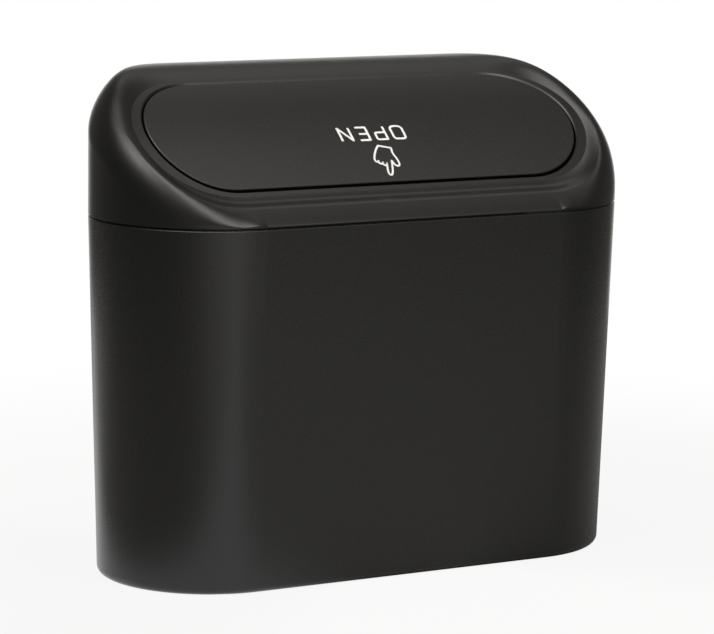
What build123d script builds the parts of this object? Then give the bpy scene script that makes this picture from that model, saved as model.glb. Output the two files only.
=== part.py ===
"""Car trash bin: a tapered oval-plan bin, a wedge-shaped lid frame and a sprung push flap.

Millimetres. The bin stands on z = 0 with its long side along X. The lid slopes down towards -Y.
"""
import os
from math import asin, cos, hypot, radians, sin, sqrt, tan

from build123d import *

# Bin body
LENGTH = 205.0  # along X, at the seam between body and lid
WIDTH = 85.0  # along Y, at the seam
SEAM_HEIGHT = 127.5
BODY_DRAFT = 1.53  # degrees, each side
BODY_WALL = 2.0
FLOOR = 2.4
BASE_EDGE_RADIUS = 3.0
FLOOR_CORNER_RADIUS = 2.0
FOOT_WIDTH = 7.0  # ring that the bin stands on
FOOT_HEIGHT = 0.8
RIM_EDGE = 0.3

# Crowned slope that the flap and the land round it share
TILT = 38.4  # degrees, mean slope
CROWN_RADIUS = 146.0
CROWN_Y = -4.7
CROWN_RISE = 29.9  # middle of the crown above the seam

# Push flap, measured along the slope
FLAP_END = 26.4  # how far the round ends reach past the bin's straight sides
FLAP_HALF_WIDTH = 26.2
FLAP_WALL = 2.2
FLAP_EDGE = 0.45
FLAP_GAP = 0.65
RIB_THICK = 1.6
RIB_DEPTH = 5.0  # below the crown's top
RIB_ROOT = 1.8
RIB_ROWS = (-15.0, 4.0)
RIB_COLUMNS = 4
RIB_MARGIN = 4.0  # from the last cross rib to the ends of the long ribs

# Lid frame
FRAME_WALL = 2.0
FRAME_EDGE = 0.5
LAND_END = 4.4  # width of the land at the flap's ends, then along its sides
LAND_SIDE = 2.4
SEAM_GAP = 0.3
SEAT_WIDTH = 0.8
SKIRT_DEPTH = 8.0
SKIRT_WALL = 1.6
SKIRT_CLEARANCE = 0.3
LEDGE_HEIGHT = 1.8
CREST_INSET = (7.8, 6.7, 5.2)  # where the roll ends, in from the wall: near side, ends, far side
CREST_SLOPE = (0.54, 0.16, 0.0)
CREST_OVER_SEAM = 6.15  # height of that line: over the seam at the near side
CREST_OVER_CROWN = (0.54, -2.7)  # and over the crowned slope at the ends and the far side
ROLL_DROP = (5.3, 10.8, 15.0)  # from there down to where the wall starts to roll over
CORNER_INSET = (-1.1, 3.9)  # more of each at the corners: near and far
CORNER_SLOPE = (-0.53, 0.0)
CORNER_RISE = (-0.97, 3.2)
CORNER_DROP = (5.9, 0.0)
ROLL_FULLNESS = 0.45  # length of the roll's Bezier handles, as a share of its reach
BEAD_FULLNESS = 0.35  # the same for the bead between the roll and the land
CREASE = (0.2, 0.5, 0.0)  # how much steeper than the slope the bead meets the land
INNER_INSET = (3.6, 2.2, 2.0)
PRY_START = 45.0  # relief under the frame's edge, round the +X end
PRY_HEIGHT = 0.7
SECTION_STEP = 10  # degrees between the lofted sections

# Flap hinge, along X under the flap's high edge
HINGE_UP_SLOPE = 17.0
HINGE_DEPTH = 6.0
PIN_RADIUS = 1.5
PIN_HEAD_RADIUS = 2.4
PIN_HEAD = 1.0
PIN_END = 0.5  # how far the pin passes its bracket
PIN_RUNNING_CLEARANCE = 0.05
PIN_SEAT_CLEARANCE = 0.02
BOSS_RADIUS = 3.2
EAR_OFFSET = 2.0  # outward from where the bin's straight sides end
EAR_THICK = 2.6
BRACKET_THICK = 2.4
BRACKET_FAR = 33.0  # up-slope reach of the bracket's root
BRACKET_NEAR = 26.0
BRACKET_ROOT = 1.2  # depth at which the brackets and the stop grow out of the frame
BRACKET_DROP = 5.0
SIDE_CLEARANCE = 0.3
STOP_NEAR = 23.5
STOP_FAR = 31.0
STOP_THICK = 2.0
STOP_MARGIN = 15.0  # from the stop's ends to where the straight sides end
STOP_CLEARANCE = 0.3

# Return spring
WIRE = 0.8
COIL_RADIUS = 2.6
COIL_TURNS = 3
SPRING_CLEARANCE = 1.0  # between the coil's ends and the ear and bracket
COIL_PITCH = 1.15
FLAP_LEG = 12.0
FRAME_LEG = 9.0

CORNER_SIDE = sin(radians(45))
END_RADIUS = WIDTH / 2
END_CENTRE = LENGTH / 2 - END_RADIUS
SLOPE = radians(TILT)
CROWN_Z = SEAM_HEIGHT + CROWN_RISE
CROWN_AXIS_Y = CROWN_Y + CROWN_RADIUS * sin(SLOPE)
CROWN_AXIS_Z = CROWN_Z - CROWN_RADIUS * cos(SLOPE)
SLOPE_PLANE = Plane(origin=(0, CROWN_Y, CROWN_Z), x_dir=(1, 0, 0), z_dir=(0, -sin(SLOPE), cos(SLOPE)))
SKIRT_INSET = BODY_WALL + SKIRT_CLEARANCE
SKIRT_INNER = SKIRT_INSET + SKIRT_WALL
STOP_DEPTH = FLAP_WALL + STOP_CLEARANCE
STOP_HALF_LENGTH = END_CENTRE - STOP_MARGIN
STOP_ROOT = FLAP_HALF_WIDTH + 2 * FLAP_GAP
SPRING_LENGTH = COIL_TURNS * COIL_PITCH + WIRE
EAR_X = END_CENTRE + EAR_OFFSET
COIL_X = EAR_X + EAR_THICK + SPRING_CLEARANCE + WIRE / 2
BRACKET_X = EAR_X + EAR_THICK + SPRING_LENGTH + 2 * SPRING_CLEARANCE
PIN_X = EAR_X - SIDE_CLEARANCE


def crown_point(up_slope, depth=0.0):
    """Side-view point (y, z), up_slope from the crown's middle and depth below its surface."""
    lean = asin(up_slope / CROWN_RADIUS)
    along = (CROWN_RADIUS - depth) * sin(lean)
    out = (CROWN_RADIUS - depth) * cos(lean) - CROWN_RADIUS
    return CROWN_Y + along * cos(SLOPE) - out * sin(SLOPE), CROWN_Z + along * sin(SLOPE) + out * cos(SLOPE)


def crown_height(y):
    """Height of the crowned slope over a plan position."""
    return CROWN_AXIS_Z + sqrt(CROWN_RADIUS**2 - (y - CROWN_AXIS_Y) ** 2)


def crown_slope(y):
    """Rise of the crowned slope per millimetre of y."""
    return (CROWN_AXIS_Y - y) / (crown_height(y) - CROWN_AXIS_Z)


def around(sizes, side, corners=(0.0, 0.0)):
    """A size that changes smoothly round the frame: side is -1 near, 0 at the ends, 1 far.

    Halfway from the ends to the near and far sides, it has the corners' share more.
    """
    near, end, far = sizes
    size = end + (far - near) / 2 * side + ((far + near) / 2 - end) * side**2
    near_corner, far_corner = corners
    corner = near_corner if side < 0 else far_corner
    reach = abs(side)
    return size + corner * reach**2 * (1 - reach) / (CORNER_SIDE**2 * (1 - CORNER_SIDE))


NEAR_CREST_RISE = SEAM_HEIGHT + CREST_OVER_SEAM - crown_height(CREST_INSET[0] - END_RADIUS)
CREST_RISE = (NEAR_CREST_RISE, *CREST_OVER_CROWN)
HINGE_Y, HINGE_Z = crown_point(HINGE_UP_SLOPE, HINGE_DEPTH)
HINGE_SLOPE = SLOPE - asin(HINGE_UP_SLOPE / CROWN_RADIUS)
HINGE_NORMAL = (0, -sin(HINGE_SLOPE), cos(HINGE_SLOPE))


def oval(inset):
    """Plan outline of the bin at the seam, moved inward by inset."""
    with BuildSketch() as outline:
        SlotCenterToCenter(2 * END_CENTRE, 2 * (END_RADIUS - inset))
    return outline.sketch


def frame_section(angle):
    """Upright section of the lid frame, at an angle round its +X end: -90 near, 90 far."""
    turn = radians(angle)
    side = sin(turn)

    def flap_outline(grow_end, grow_side):
        y, z = crown_point((FLAP_HALF_WIDTH + grow_side) * side)
        return Vector(END_CENTRE + (FLAP_END + grow_end) * cos(turn), y)

    outer = Vector(END_CENTRE + END_RADIUS * cos(turn), END_RADIUS * side)
    mouth = flap_outline(FLAP_GAP, FLAP_GAP)
    land = flap_outline(FLAP_GAP + LAND_END, FLAP_GAP + LAND_SIDE)
    inward = (mouth - outer).normalized()

    def slope_height(inset):
        return crown_height(outer.Y + inward.Y * inset)

    def slope_rise(inset):
        return crown_slope(outer.Y + inward.Y * inset) * inward.Y

    mouth_w = (mouth - outer).length
    land_w = (land - outer).dot(inward)
    crest_w = around(CREST_INSET, side, CORNER_INSET)
    inner_w = around(INNER_INSET, side)
    crest_z = slope_height(crest_w) + around(CREST_RISE, side, CORNER_RISE)
    crest_slope = around(CREST_SLOPE, side, CORNER_SLOPE)
    corner_z = crest_z - crest_w * crest_slope
    roll_foot_z = crest_z - around(ROLL_DROP, side, CORNER_DROP)
    foot_z = max(roll_foot_z, SEAM_HEIGHT + SEAM_GAP + 1.5 * FRAME_EDGE)
    inner_foot_z = max(roll_foot_z, SEAM_HEIGHT + LEDGE_HEIGHT + FRAME_EDGE)
    land_z = slope_height(land_w)
    under_crest_z = crest_z - FRAME_WALL
    inner_roll_w = crest_w - inner_w
    inner_corner_z = under_crest_z - inner_roll_w * crest_slope
    under_land_z = land_z - FRAME_WALL * hypot(1, slope_rise(land_w))
    edge_w = mouth_w + FLAP_WALL * sin(SLOPE) * inward.Y
    edge_z = slope_height(mouth_w) - FLAP_WALL * cos(SLOPE)
    skirt_lean = SKIRT_DEPTH * tan(radians(BODY_DRAFT))
    ledge_z = SEAM_HEIGHT + LEDGE_HEIGHT
    skirt_z = SEAM_HEIGHT - SKIRT_DEPTH
    seat_w = BODY_WALL - SEAT_WIDTH

    bead_w = land_w - crest_w
    handle = BEAD_FULLNESS * bead_w
    land_rise = slope_rise(land_w)
    crease_rise = land_rise - around(CREASE, side)

    upright = Plane(
        origin=(outer.X, outer.Y, 0), x_dir=(inward.X, inward.Y, 0), z_dir=(inward.Y, -inward.X, 0)
    )
    # The runs stay separate edges, so that each one lofts to its own face
    runs = [
        Polyline(
            (seat_w, SEAM_HEIGHT + SEAM_GAP),
            (FRAME_EDGE, SEAM_HEIGHT + SEAM_GAP),
            (0, SEAM_HEIGHT + SEAM_GAP + FRAME_EDGE),
            (0, foot_z),
        ),
        Bezier(
            (0, foot_z),
            (0, foot_z + ROLL_FULLNESS * (corner_z - foot_z)),
            (crest_w * (1 - ROLL_FULLNESS), crest_z - ROLL_FULLNESS * crest_w * crest_slope),
            (crest_w, crest_z),
        ),
        Bezier(
            (crest_w, crest_z),
            (crest_w + handle, crest_z + handle * crest_slope),
            (land_w - handle, land_z - handle * crease_rise),
            (land_w, land_z),
        ),
        Polyline(
            (land_w, land_z),
            (mouth_w - FRAME_EDGE, slope_height(mouth_w - FRAME_EDGE)),
            (mouth_w, slope_height(mouth_w) - FRAME_EDGE),
            (edge_w, edge_z),
            (land_w, under_land_z),
        ),
        Bezier(
            (land_w, under_land_z),
            (land_w - handle, under_land_z - handle * land_rise),
            (crest_w + handle, under_crest_z + handle * crest_slope),
            (crest_w, under_crest_z),
        ),
        Bezier(
            (crest_w, under_crest_z),
            (crest_w - ROLL_FULLNESS * inner_roll_w, under_crest_z - ROLL_FULLNESS * inner_roll_w * crest_slope),
            (inner_w, inner_foot_z + ROLL_FULLNESS * (inner_corner_z - inner_foot_z)),
            (inner_w, inner_foot_z),
        ),
        Polyline(
            (inner_w, inner_foot_z),
            (inner_w, ledge_z),
            (SKIRT_INNER, ledge_z),
            (SKIRT_INNER + skirt_lean, skirt_z),
            (SKIRT_INSET + skirt_lean, skirt_z),
            (SKIRT_INSET, SEAM_HEIGHT),
            (seat_w, SEAM_HEIGHT),
            (seat_w, SEAM_HEIGHT + SEAM_GAP),
        ),
    ]
    outline = Wire([edge for run in runs for edge in run.edges()])
    return Face(upright.from_local_coords(outline))


# Bin body: drafted tub with a foot ring, an open top and a plain rim
with BuildPart() as bin_body:
    with BuildSketch(Plane.XY.offset(SEAM_HEIGHT)):
        add(oval(0))
    extrude(amount=-SEAM_HEIGHT, taper=BODY_DRAFT)
    fillet(bin_body.faces().sort_by(Axis.Z)[0].edges(), BASE_EDGE_RADIUS)
    with BuildSketch(Plane.XY.offset(SEAM_HEIGHT)):
        add(oval(BODY_WALL))
    extrude(amount=FLOOR - SEAM_HEIGHT, taper=BODY_DRAFT, mode=Mode.SUBTRACT)
    inside_floor = bin_body.faces().filter_by(Plane.XY).sort_by(Axis.Z)[1]
    fillet(inside_floor.edges(), FLOOR_CORNER_RADIUS)
    with BuildSketch():
        add(oval(SEAM_HEIGHT * tan(radians(BODY_DRAFT)) + FOOT_WIDTH))
    extrude(amount=FOOT_HEIGHT, mode=Mode.SUBTRACT)
    rim = bin_body.faces().filter_by(Plane.XY).sort_by(Axis.Z)[-1]
    chamfer(rim.outer_wire().edges(), RIM_EDGE)
bin_body.part.label = "bin_body"

# Lid frame: each end is lofted through upright sections, and the long sides run straight between the ends
end_sections = [frame_section(angle) for angle in range(-90, 91, SECTION_STEP)]
with BuildPart() as frame_end:
    loft(end_sections)
end_caps = frame_end.faces().filter_by(Plane.YZ)

bracket_planes = (Plane.YZ.offset(BRACKET_X), Plane.YZ.offset(-BRACKET_X - BRACKET_THICK))

with BuildPart() as lid_frame:
    add(frame_end.part)
    mirror(about=Plane.YZ)
    extrude(end_caps, amount=2 * END_CENTRE, dir=(-1, 0, 0))
    # Relief under the edge of the +X end, where a fingernail lifts the frame off
    with BuildSketch(Plane.XY.offset(SEAM_HEIGHT)):
        with Locations((PRY_START, 0)):
            Rectangle(LENGTH, 2 * WIDTH, align=(Align.MIN, Align.CENTER))
        add(oval(BODY_WALL - SEAT_WIDTH), mode=Mode.SUBTRACT)
    extrude(amount=SEAM_GAP + PRY_HEIGHT, mode=Mode.SUBTRACT)
    # Stop ledge that the flap's high edge rests on
    with BuildSketch(Plane.YZ):
        with BuildLine():
            Polyline(
                crown_point(STOP_NEAR, STOP_DEPTH),
                crown_point(STOP_ROOT, STOP_DEPTH),
                crown_point(STOP_ROOT, BRACKET_ROOT),
                crown_point(STOP_FAR, BRACKET_ROOT),
                crown_point(STOP_FAR, STOP_DEPTH + STOP_THICK),
                crown_point(STOP_NEAR, STOP_DEPTH + STOP_THICK),
                close=True,
            )
        make_face()
    extrude(amount=STOP_HALF_LENGTH, both=True)
    # Brackets that hold the hinge pins
    with BuildSketch(*bracket_planes):
        with BuildLine():
            Polyline(
                crown_point(BRACKET_NEAR, BRACKET_ROOT),
                crown_point(BRACKET_FAR, BRACKET_ROOT),
                crown_point(BRACKET_FAR, BRACKET_DROP),
                crown_point(HINGE_UP_SLOPE, HINGE_DEPTH + BOSS_RADIUS),
                crown_point(HINGE_UP_SLOPE, HINGE_DEPTH - BOSS_RADIUS),
                crown_point(BRACKET_NEAR, HINGE_DEPTH - BOSS_RADIUS),
                close=True,
            )
        make_face()
        with Locations((HINGE_Y, HINGE_Z)):
            Circle(BOSS_RADIUS)
            Circle(PIN_RADIUS + PIN_SEAT_CLEARANCE, mode=Mode.SUBTRACT)
    extrude(amount=BRACKET_THICK)
lid_frame.part.label = "lid_frame"

# Push flap: crowned panel with a stiffening grid
with BuildPart() as push_flap:
    with BuildSketch(Plane.YZ):
        with BuildLine():
            reach = FLAP_HALF_WIDTH + FLAP_WALL
            top = ThreePointArc(crown_point(-reach), crown_point(0), crown_point(reach))
            under = ThreePointArc(
                crown_point(-reach, FLAP_WALL), crown_point(0, FLAP_WALL), crown_point(reach, FLAP_WALL)
            )
            Line(top @ 0, under @ 0)
            Line(top @ 1, under @ 1)
        make_face()
    extrude(amount=LENGTH / 2, both=True)
    with BuildSketch(SLOPE_PLANE):
        Rectangle(2 * END_CENTRE, 2 * FLAP_HALF_WIDTH)
        with Locations((-END_CENTRE, 0), (END_CENTRE, 0)):
            Ellipse(FLAP_END, FLAP_HALF_WIDTH)
    extrude(amount=CROWN_RADIUS / 4, both=True, mode=Mode.INTERSECT)
    crown = push_flap.faces().filter_by(GeomType.CYLINDER).sort_by(SortBy.RADIUS)[-1]
    fillet(crown.edges(), FLAP_EDGE)
    # Stiffening grid under the panel
    with BuildSketch(SLOPE_PLANE.offset(-RIB_ROOT)):
        with Locations(*[(0, row) for row in RIB_ROWS]):
            Rectangle(2 * END_CENTRE, RIB_THICK)
        with Locations((0, sum(RIB_ROWS) / 2)):
            with GridLocations(2 * (END_CENTRE - RIB_MARGIN) / (RIB_COLUMNS - 1), 0, RIB_COLUMNS, 1):
                Rectangle(RIB_THICK, RIB_ROWS[1] - RIB_ROWS[0])
    extrude(amount=RIB_ROOT - RIB_DEPTH)
    # Ears that turn on the hinge pins
    with BuildSketch(Plane.YZ.offset(EAR_X), Plane.YZ.offset(-EAR_X - EAR_THICK)):
        with BuildLine():
            Polyline(
                crown_point(HINGE_UP_SLOPE - BOSS_RADIUS, BRACKET_ROOT),
                crown_point(HINGE_UP_SLOPE + BOSS_RADIUS, BRACKET_ROOT),
                crown_point(HINGE_UP_SLOPE + BOSS_RADIUS, HINGE_DEPTH),
                crown_point(HINGE_UP_SLOPE - BOSS_RADIUS, HINGE_DEPTH),
                close=True,
            )
        make_face()
        with Locations((HINGE_Y, HINGE_Z)):
            Circle(BOSS_RADIUS)
            Circle(PIN_RADIUS + PIN_RUNNING_CLEARANCE, mode=Mode.SUBTRACT)
    extrude(amount=EAR_THICK)
push_flap.part.label = "push_flap"

# Hinge pin: headed steel pin, through the flap's ear and the spring into its bracket
with BuildPart() as hinge_pin_right:
    with BuildSketch(Plane.YZ.offset(PIN_X)):
        with Locations((HINGE_Y, HINGE_Z)):
            Circle(PIN_RADIUS)
    extrude(amount=BRACKET_X + BRACKET_THICK + PIN_END - PIN_X)
    with BuildSketch(Plane.YZ.offset(PIN_X)):
        with Locations((HINGE_Y, HINGE_Z)):
            Circle(PIN_HEAD_RADIUS)
    extrude(amount=-PIN_HEAD)
hinge_pin_right.part.label = "hinge_pin_right"

# Return spring: one leg lifts the flap, the other bears on the frame beyond the hinge
coil_plane = Plane(
    origin=(COIL_X + COIL_TURNS * COIL_PITCH, HINGE_Y, HINGE_Z), x_dir=HINGE_NORMAL, z_dir=(-1, 0, 0)
)
coil = Helix(COIL_PITCH, COIL_TURNS * COIL_PITCH, COIL_RADIUS, lefthand=True)
frame_leg = Line(coil @ 0 - (coil % 0) * FRAME_LEG, coil @ 0)
flap_leg = Line(coil @ 1, coil @ 1 + (coil % 1) * FLAP_LEG)
wire_path = coil_plane.from_local_coords(Wire([frame_leg.edge(), coil.edge(), flap_leg.edge()]))

with BuildPart() as return_spring_right:
    with BuildSketch(Plane(origin=wire_path @ 0, z_dir=wire_path % 0)):
        Circle(WIRE / 2)
    sweep(path=wire_path)
return_spring_right.part.label = "return_spring_right"

# The -X end's pin and spring are mirror images
with BuildPart() as hinge_pin_left:
    add(hinge_pin_right.part)
    mirror(about=Plane.YZ, mode=Mode.REPLACE)
hinge_pin_left.part.label = "hinge_pin_left"

with BuildPart() as return_spring_left:
    add(return_spring_right.part)
    mirror(about=Plane.YZ, mode=Mode.REPLACE)
return_spring_left.part.label = "return_spring_left"

pieces = (
    bin_body,
    lid_frame,
    push_flap,
    hinge_pin_left,
    hinge_pin_right,
    return_spring_left,
    return_spring_right,
)
os.makedirs("parts", exist_ok=True)
for piece in pieces:
    export_step(piece.part, f"parts/{piece.part.label}.step")
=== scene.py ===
"""Car trash bin with a sprung push flap: finishes, printed legend, coiled springs, studio and camera.

Metres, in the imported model's frame. The lid slopes down towards -Y, where the camera stands.
"""
from math import asin, cos, radians, sin

import bmesh
import bpy
from mathutils import Matrix, Vector


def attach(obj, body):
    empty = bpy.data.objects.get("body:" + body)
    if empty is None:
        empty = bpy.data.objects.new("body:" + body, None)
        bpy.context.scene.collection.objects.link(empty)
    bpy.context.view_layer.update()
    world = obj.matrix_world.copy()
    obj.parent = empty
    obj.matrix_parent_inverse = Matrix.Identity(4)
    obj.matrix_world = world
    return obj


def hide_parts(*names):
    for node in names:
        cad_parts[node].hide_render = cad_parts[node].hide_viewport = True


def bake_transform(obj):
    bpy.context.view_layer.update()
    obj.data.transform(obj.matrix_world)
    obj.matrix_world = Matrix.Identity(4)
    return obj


MM = 0.001

# Crowned slope of the flap, as the part's source has it: tilt, radius and middle
TILT = radians(38.4)
CROWN_RADIUS = 146.0 * MM
CROWN_Y = -4.7 * MM
CROWN_Z = 157.4 * MM

# Printed legend on the flap: its middles across the flap and up the slope from the crown's middle
PRINT_LIFT = 0.03 * MM
PRINT_FLATNESS = 0.08  # thickness of a stroke as a share of its width
UPSIDE_DOWN = radians(180)
WORD_CENTRE = (0.6 * MM, -4.2 * MM)
WORD_PEN = 0.95 * MM
LETTER_PITCH = 7.2 * MM
HAND_CENTRE = (1.4 * MM, -16.4 * MM)
HAND_PEN = 0.8 * MM
HAND_TURN = radians(-16)

# Strokes in millimetres: points of a smooth line, a point given twice is a sharp corner
LETTERS = {
    "O": [
        [
            (0, -3.1), (-2.4, -3.1), (-2.4, 0), (-2.4, 3.1), (0, 3.1),
            (2.4, 3.1), (2.4, 0), (2.4, -3.1), (0, -3.1),
        ],
    ],
    "P": [
        [
            (-2, -3.1), (-2, 3.1), (-2, 3.1), (0.6, 3.1), (2.2, 3.0),
            (2.2, 1.4), (2.2, -0.2), (0.6, -0.3), (-2, -0.3),
        ],
    ],
    "E": [
        [(2.1, 3.1), (-2, 3.1), (-2, 3.1), (-2, -3.1), (-2, -3.1), (2.1, -3.1)],
        [(-2, 0.1), (0, 0.1), (1.6, 0.1)],
    ],
    "N": [
        [(-2.2, -3.1), (-2.2, 3.1), (-2.2, 3.1), (2.2, -3.1), (2.2, -3.1), (2.2, 3.1)],
    ],
}
WORD = "OPEN"
HAND_OUTLINE = [
    (-2.6, -5.8), (-2.6, -5.8), (2.4, -5.8), (2.4, -5.8), (3.6, -3.4), (4.4, -0.4),
    (4.5, 2.0), (3.0, 2.2), (3.0, 0.8), (3.0, 2.6), (1.4, 2.7), (1.4, 1.0),
    (1.4, 3.0), (-0.2, 3.0), (-0.2, 1.4), (-0.2, 1.4), (-0.2, 6.9), (-2.2, 6.9),
    (-2.2, 0.2), (-2.2, 0.2), (-3.6, 2.4), (-5.4, 1.8), (-4.4, -1.2), (-2.9, -3.2),
]

# Return springs: the coil sits between its frame end and its flap end, taken as the CAD has it; wire
# points closer than this are welded
WELD = 0.001 * MM

# Moulded black plastic, as all three mouldings have it
PLASTIC_TONE = 0.005
DARK_TINT = (0.82, 0.82, 0.84)
LIGHT_TINT = (1.2, 1.19, 1.18)
CLOUD_SIZE = 42 * MM
PIT_SPACING = 1.7  # in grains
GRAIN_SHARE = 0.6  # of the relief, the rest is pits
CLOUD_SHARE = 0.6  # of the colour, the rest follows the relief
CLOUD_GLOSS = 0.05  # how far clouds and relief change the roughness
RELIEF_GLOSS = 0.08

# Drawn steel of the pins and springs
STEEL_TONES = ((0.42, 0.42, 0.43, 1), (0.62, 0.62, 0.63, 1))
STEEL_LINE = 0.12 * MM
STEEL_LINE_DEPTH = 0.01 * MM
STEEL_STRETCH = (0.05, 1, 1)  # lines run along X
STEEL_CLOUD = 2.5 * MM
STEEL_ROUGHNESS = 0.18
STEEL_LINE_GLOSS = 0.14
STEEL_CLOUD_GLOSS = 0.12

# White ink of the legend
INK_TONES = ((0.86, 0.86, 0.86, 1), (0.93, 0.93, 0.93, 1))
INK_GRAIN = 0.5 * MM
INK_ROUGHNESS = 0.4
INK_GLOSS = 0.15

# Camera, at the photograph's viewing angle
CAMERA_TARGET = Vector((0, 0, 75.0 * MM))
CAMERA_AZIMUTH = radians(-30.28)
CAMERA_ELEVATION = radians(9.61)
CAMERA_ROLL = radians(0.87)
CAMERA_DISTANCE = 1.259
CAMERA_LENS = 175.6
CAMERA_SHIFT = (0.0022, 0.0477)

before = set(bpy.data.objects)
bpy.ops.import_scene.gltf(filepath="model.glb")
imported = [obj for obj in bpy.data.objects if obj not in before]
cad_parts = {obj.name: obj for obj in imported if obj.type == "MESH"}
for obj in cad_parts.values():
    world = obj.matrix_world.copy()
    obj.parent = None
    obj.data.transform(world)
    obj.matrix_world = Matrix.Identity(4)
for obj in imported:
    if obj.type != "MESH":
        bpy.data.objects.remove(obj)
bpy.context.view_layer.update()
scene = bpy.context.scene
scene.view_settings.view_transform = "Standard"


class Wire:
    """One output of a material's or the world's nodes, with arithmetic that adds Math nodes."""

    def __init__(self, tree, socket=None):
        self.tree = tree
        self.socket = socket

    def node(self, kind, settings, inputs, out=0):
        """Adds a node: its settings are set first, then the values or links of its sockets."""
        made = self.tree.nodes.new(kind)
        for name, value in settings.items():
            setattr(made, name, value)
        for name, value in inputs.items():
            if isinstance(value, Wire):
                self.tree.links.new(value.socket, made.inputs[name])
            else:
                made.inputs[name].default_value = value
        return Wire(self.tree, made.outputs[out])

    def math(self, operation, *values):
        """Adds a Math node for one or two values."""
        return self.node("ShaderNodeMath", {"operation": operation}, dict(enumerate(values)))

    def __add__(self, other):
        return self.math("ADD", self, other)

    __radd__ = __add__

    def __sub__(self, other):
        return self.math("SUBTRACT", self, other)

    def __rsub__(self, other):
        return self.math("SUBTRACT", other, self)

    def __mul__(self, other):
        return self.math("MULTIPLY", self, other)

    __rmul__ = __mul__

    def __truediv__(self, other):
        return self.math("DIVIDE", self, other)

    def __rtruediv__(self, other):
        return self.math("DIVIDE", other, self)

    def __abs__(self):
        return self.math("ABSOLUTE", self)

    def mix(self, first, second):
        """A colour between two colours, by this value, through the Mix node's colour sockets."""
        return self.node("ShaderNodeMix", {"data_type": "RGBA"}, {0: self, 6: first, 7: second}, out=2)


def blank_material(name):
    """A new material, its Principled shader and its Object coordinates."""
    material = bpy.data.materials.new(name)
    material.use_nodes = True
    tree = material.node_tree
    shader = tree.nodes["Principled BSDF"]
    place = Wire(tree).node("ShaderNodeTexCoord", {}, {}, out="Object")
    return material, shader, place


def feed(shader, name, value):
    """Links a value to one of the shader's sockets."""
    value.tree.links.new(value.socket, shader.inputs[name])


def noise(place, size, detail=2.0):
    """Cloudy pattern with features of that size in metres, about 0 to 1."""
    sockets = {"Vector": place, "Scale": 1 / size, "Detail": detail, "Roughness": 0.55}
    return place.node("ShaderNodeTexNoise", {}, sockets)


def moulded_plastic(name, grain, depth, roughness):
    """Black moulded plastic with a fine spark-eroded grain, faint clouding and slightly uneven gloss."""
    material, shader, place = blank_material(name)
    cloud = noise(place, CLOUD_SIZE, detail=3.0)
    grains = noise(place, grain)
    pits = place.node("ShaderNodeTexVoronoi", {}, {"Vector": place, "Scale": 1 / (PIT_SPACING * grain)})
    relief = grains * GRAIN_SHARE + pits * (1 - GRAIN_SHARE)
    dark = (*(PLASTIC_TONE * tint for tint in DARK_TINT), 1)
    light = (*(PLASTIC_TONE * tint for tint in LIGHT_TINT), 1)
    feed(shader, "Base Color", (cloud * CLOUD_SHARE + relief * (1 - CLOUD_SHARE)).mix(dark, light))
    smoothest = roughness - (CLOUD_GLOSS + RELIEF_GLOSS) / 2
    feed(shader, "Roughness", cloud * CLOUD_GLOSS + relief * RELIEF_GLOSS + smoothest)
    bump = place.node("ShaderNodeBump", {}, {"Height": relief, "Strength": 1.0, "Distance": depth})
    feed(shader, "Normal", bump)
    return material


def drawn_steel(name):
    """Bright drawn wire and rod, with fine lines along X and a little uneven gloss."""
    material, shader, place = blank_material(name)
    stretched = place.node("ShaderNodeMapping", {}, {"Vector": place, "Scale": STEEL_STRETCH})
    lines = noise(stretched, STEEL_LINE, detail=3.0)
    cloud = noise(place, STEEL_CLOUD)
    feed(shader, "Base Color", lines.mix(*STEEL_TONES))
    feed(shader, "Roughness", lines * STEEL_LINE_GLOSS + cloud * STEEL_CLOUD_GLOSS + STEEL_ROUGHNESS)
    relief = {"Height": lines, "Strength": 0.5, "Distance": STEEL_LINE_DEPTH}
    feed(shader, "Normal", place.node("ShaderNodeBump", {}, relief))
    shader.inputs["Metallic"].default_value = 1.0
    return material


def white_print(name):
    """White pad-printed ink, a little thin in places."""
    material, shader, place = blank_material(name)
    thin = noise(place, INK_GRAIN, detail=3.0)
    feed(shader, "Base Color", thin.mix(*INK_TONES))
    feed(shader, "Roughness", thin * INK_GLOSS + INK_ROUGHNESS)
    return material


def dress(node, material):
    """Gives a CAD node its finish."""
    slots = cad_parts[node].data.materials
    slots.clear()
    slots.append(material)


def on_crown(across, up_slope, lift):
    """Point on the flap's crowned face, lifted off it along its normal."""
    lean = asin(up_slope / CROWN_RADIUS)
    radius = CROWN_RADIUS + lift
    along = radius * sin(lean)
    out = radius * cos(lean) - CROWN_RADIUS
    y = CROWN_Y + along * cos(TILT) - out * sin(TILT)
    z = CROWN_Z + along * sin(TILT) + out * cos(TILT)
    return Vector((across, y, z))


def print_strokes(name, strokes, pen, place, closed):
    """Flat white strokes of one pen, printed on the flap's crowned face."""
    curve = bpy.data.curves.new(name + "_curve", "CURVE")
    curve.dimensions = "3D"
    curve.bevel_depth = pen / 2
    curve.bevel_resolution = 3
    curve.resolution_u = 8
    curve.use_fill_caps = True
    for points in strokes:
        spline = curve.splines.new("NURBS")
        spline.points.add(len(points) - 1)
        for point, (x, v) in zip(spline.points, points):
            point.co = (x * MM, v * MM, 0, 1)
        spline.order_u = 3
        spline.use_endpoint_u = not closed
        spline.use_cyclic_u = closed
    drawn = bpy.data.objects.new(name + "_drawn", curve)
    scene.collection.objects.link(drawn)
    seen = drawn.evaluated_get(bpy.context.evaluated_depsgraph_get())
    mesh = bpy.data.meshes.new_from_object(seen)
    bpy.data.objects.remove(drawn)
    for vertex in mesh.vertices:
        spot = place @ Vector((vertex.co.x, vertex.co.y, 0))
        vertex.co = on_crown(spot.x, spot.y, PRINT_LIFT + vertex.co.z * PRINT_FLATNESS)
    mesh.materials.append(print_finish)
    piece = bpy.data.objects.new(name, mesh)
    scene.collection.objects.link(piece)
    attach(piece, "flap")


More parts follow.
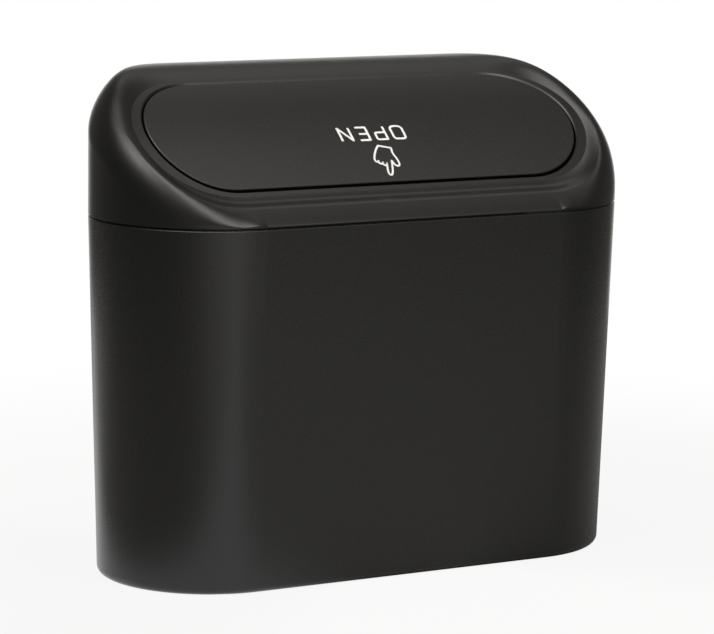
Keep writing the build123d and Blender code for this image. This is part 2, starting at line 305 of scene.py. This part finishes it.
def print_place(centre, turn):
    """Where a sign is printed: its middle on the slope and its turn."""
    return Matrix.Translation((*centre, 0)) @ Matrix.Rotation(turn, 4, "Z")


def return_spring(side):
    """The CAD spring's wire, welded, smoothed and finished in steel, in place of the CAD node."""
    node = "return_spring_" + side
    shape = bmesh.new()
    shape.from_mesh(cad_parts[node].data)
    bmesh.ops.remove_doubles(shape, verts=shape.verts, dist=WELD)
    mesh = bpy.data.meshes.new("wound_spring_" + side)
    shape.to_mesh(mesh)
    shape.free()
    mesh.shade_smooth()
    mesh.materials.append(steel_finish)
    piece = bpy.data.objects.new("wound_spring_" + side, mesh)
    scene.collection.objects.link(piece)
    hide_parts(node)
    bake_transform(piece)


# Finishes
body_finish = moulded_plastic("body_black", grain=0.34 * MM, depth=0.012 * MM, roughness=0.27)
lid_finish = moulded_plastic("lid_black", grain=0.5 * MM, depth=0.012 * MM, roughness=0.25)
flap_finish = moulded_plastic("flap_black", grain=0.6 * MM, depth=0.010 * MM, roughness=0.28)
steel_finish = drawn_steel("drawn_steel")
print_finish = white_print("white_print")

dress("bin_body", body_finish)
dress("lid_frame", lid_finish)
dress("push_flap", flap_finish)
for side, hand in (("left", -1), ("right", 1)):
    dress("hinge_pin_" + side, steel_finish)
    return_spring(side)

# Legend, upside down to the camera
word_start = -(len(WORD) - 1) / 2
for index, letter in enumerate(WORD):
    along = (word_start + index) * LETTER_PITCH
    place = print_place(WORD_CENTRE, UPSIDE_DOWN) @ Matrix.Translation((along, 0, 0))
    print_strokes("print_letter_" + letter.lower(), LETTERS[letter], WORD_PEN, place, closed=False)
hand_place = print_place(HAND_CENTRE, UPSIDE_DOWN + HAND_TURN)
print_strokes("print_hand", [HAND_OUTLINE], HAND_PEN, hand_place, closed=True)

# Studio: a dim room with soft lights, a white backdrop and a pale table
WHITE = (1, 1, 1, 1)
LAMP_TINT = (1.0, 0.975, 0.925, 1)
ROOM_LEVEL = 0.15
# Each soft light: its direction, how bright it is, and how quickly it fades away from there
SOFT_LIGHTS = (
    ((-0.398, -0.139, 0.907), 4.9, 21.0),  # overhead, on the left
    ((0.112, -0.133, 0.985), 3.8, 30.0),  # overhead
    ((0.420, 0.500, 0.757), 0.5, 40.0),  # high behind
    ((0.210, -0.570, 0.795), 4.5, 32.0),  # high in front, on the right
    ((-0.087, -0.995, -0.05), 0.95, 8.0),  # in front, level with the bin
)
BACKDROP_AIM = (0.497, 0.866, -0.05)
BACKDROP_EDGE = (0.86, 0.985)  # cosines from the aim where the backdrop starts and is full
TABLE_RADIUS = 0.6
TABLE_TONE = (0.52, 0.52, 0.52, 1)
TABLE_ROUGHNESS = 0.9
SIDE_PAINTED_SHADE_TONE = (0.31, 0.31, 0.31, 1)  # painted shade: the table darker to the left and right of the bin
SIDE_PAINTED_SHADE_EDGE = (0.5, 0.85)  # shares of X in the way out from the middle where the painted shade at the sides starts and is full
TABLE_GLOW = 0.9  # share of plain white near the object, the rest takes its shadow
TABLE_FADE = (0.2, 0.45)  # distances over which the table turns plain white
PAINTED_POOL_X = -0.085  # middle of a painted pool of light: a strip of table, from front to back, that reflections see bright
PAINTED_POOL_EDGE = (0.015, 0.075)  # distances from its middle where the painted pool of light starts to fade and ends


def ray_kinds(start):
    """1 for the camera's rays, and 1 for those that reflections and clear things see by."""
    camera_ray = start.node("ShaderNodeLightPath", {}, {}, out="Is Camera Ray")
    glossy_ray = start.node("ShaderNodeLightPath", {}, {}, out="Is Glossy Ray")
    clear_ray = start.node("ShaderNodeLightPath", {}, {}, out="Is Transmission Ray")
    return camera_ray, glossy_ray + clear_ray


def ease(value, low, high):
    """Smooth step from 0 at low to 1 at high."""
    sockets = {"Value": value, "From Min": low, "From Max": high}
    return value.node("ShaderNodeMapRange", {"interpolation_type": "SMOOTHSTEP"}, sockets)


def facing(direction, aim):
    """Cosine of the angle between a direction and an aim."""
    settings = {"operation": "DOT_PRODUCT"}
    return direction.node("ShaderNodeVectorMath", settings, {0: direction, 1: aim}, out="Value")


def studio_world():
    """White to the camera, a white backdrop to reflections, and soft light on the object."""
    world = bpy.data.worlds.new("studio_white")
    world.use_nodes = True
    tree = world.node_tree
    background = tree.nodes["Background"]
    start = Wire(tree)
    direction = start.node("ShaderNodeTexCoord", {}, {}, out="Generated")
    camera_ray, other_ray = ray_kinds(start)
    light = other_ray * ease(facing(direction, BACKDROP_AIM), *BACKDROP_EDGE) + ROOM_LEVEL
    for aim, level, fade in SOFT_LIGHTS:
        light = light + start.math("EXPONENT", (facing(direction, aim) - 1) * fade) * level
    strength = camera_ray + (1 - camera_ray) * light
    tree.links.new(strength.socket, background.inputs["Strength"])
    tree.links.new(camera_ray.mix(LAMP_TINT, WHITE).socket, background.inputs["Color"])
    scene.world = world


def studio_table():
    """Pale round table that turns plain white away from the object and keeps its shadow, with painted
    shade making it darker to its left and right and a painted pool of light, a strip that glows white
    for reflections.
    """
    mesh = bpy.data.meshes.new("studio_table")
    shape = bmesh.new()
    bmesh.ops.create_circle(shape, cap_ends=True, segments=128, radius=TABLE_RADIUS)
    shape.to_mesh(mesh)
    shape.free()
    table = bpy.data.objects.new("studio_table", mesh)
    scene.collection.objects.link(table)
    material, shader, place = blank_material("pale_table")
    shader.inputs["Roughness"].default_value = TABLE_ROUGHNESS
    camera_ray, other_ray = ray_kinds(place)
    distance = place.node("ShaderNodeVectorMath", {"operation": "LENGTH"}, {0: place}, out="Value")
    plain = ease(distance, *TABLE_FADE) * (1 - TABLE_GLOW) + TABLE_GLOW
    across = place.node("ShaderNodeSeparateXYZ", {}, {"Vector": place}, out="X")
    sideways = abs(across) / distance
    # painted shade: the table's colour darkens to its left and right
    feed(shader, "Base Color", ease(sideways, *SIDE_PAINTED_SHADE_EDGE).mix(TABLE_TONE, SIDE_PAINTED_SHADE_TONE))
    # painted pool of light: a strip of the table glows white for reflections only
    painted_pool = 1 - ease(abs(across - PAINTED_POOL_X), *PAINTED_POOL_EDGE)
    tree = material.node_tree
    lit = Wire(tree, shader.outputs["BSDF"])
    glow = place.node("ShaderNodeEmission", {}, {"Color": WHITE, "Strength": 1.0})
    # the glow: plain white to the camera away from the object, and the painted pool of light to
    # reflections
    share = camera_ray * plain + other_ray * painted_pool
    surface = place.node("ShaderNodeMixShader", {}, {0: share, 1: lit, 2: glow})
    tree.links.new(surface.socket, tree.nodes["Material Output"].inputs["Surface"])
    mesh.materials.append(material)


def studio_camera():
    """The photograph's view, with its slight roll."""
    back = Vector(
        (
            sin(CAMERA_AZIMUTH) * cos(CAMERA_ELEVATION),
            -cos(CAMERA_AZIMUTH) * cos(CAMERA_ELEVATION),
            sin(CAMERA_ELEVATION),
        )
    )
    right = Vector((cos(CAMERA_AZIMUTH), sin(CAMERA_AZIMUTH), 0))
    turn = Matrix.Rotation(CAMERA_ROLL, 3, back)
    right = turn @ right
    up = back.cross(right)
    data = bpy.data.cameras.new("photo_camera")
    data.lens = CAMERA_LENS
    data.shift_x, data.shift_y = CAMERA_SHIFT
    camera = bpy.data.objects.new("photo_camera", data)
    axes = Matrix((right, up, back)).transposed().to_4x4()
    camera.matrix_world = Matrix.Translation(CAMERA_TARGET + back * CAMERA_DISTANCE) @ axes
    scene.collection.objects.link(camera)
    scene.camera = camera


studio_world()
studio_table()
studio_camera()
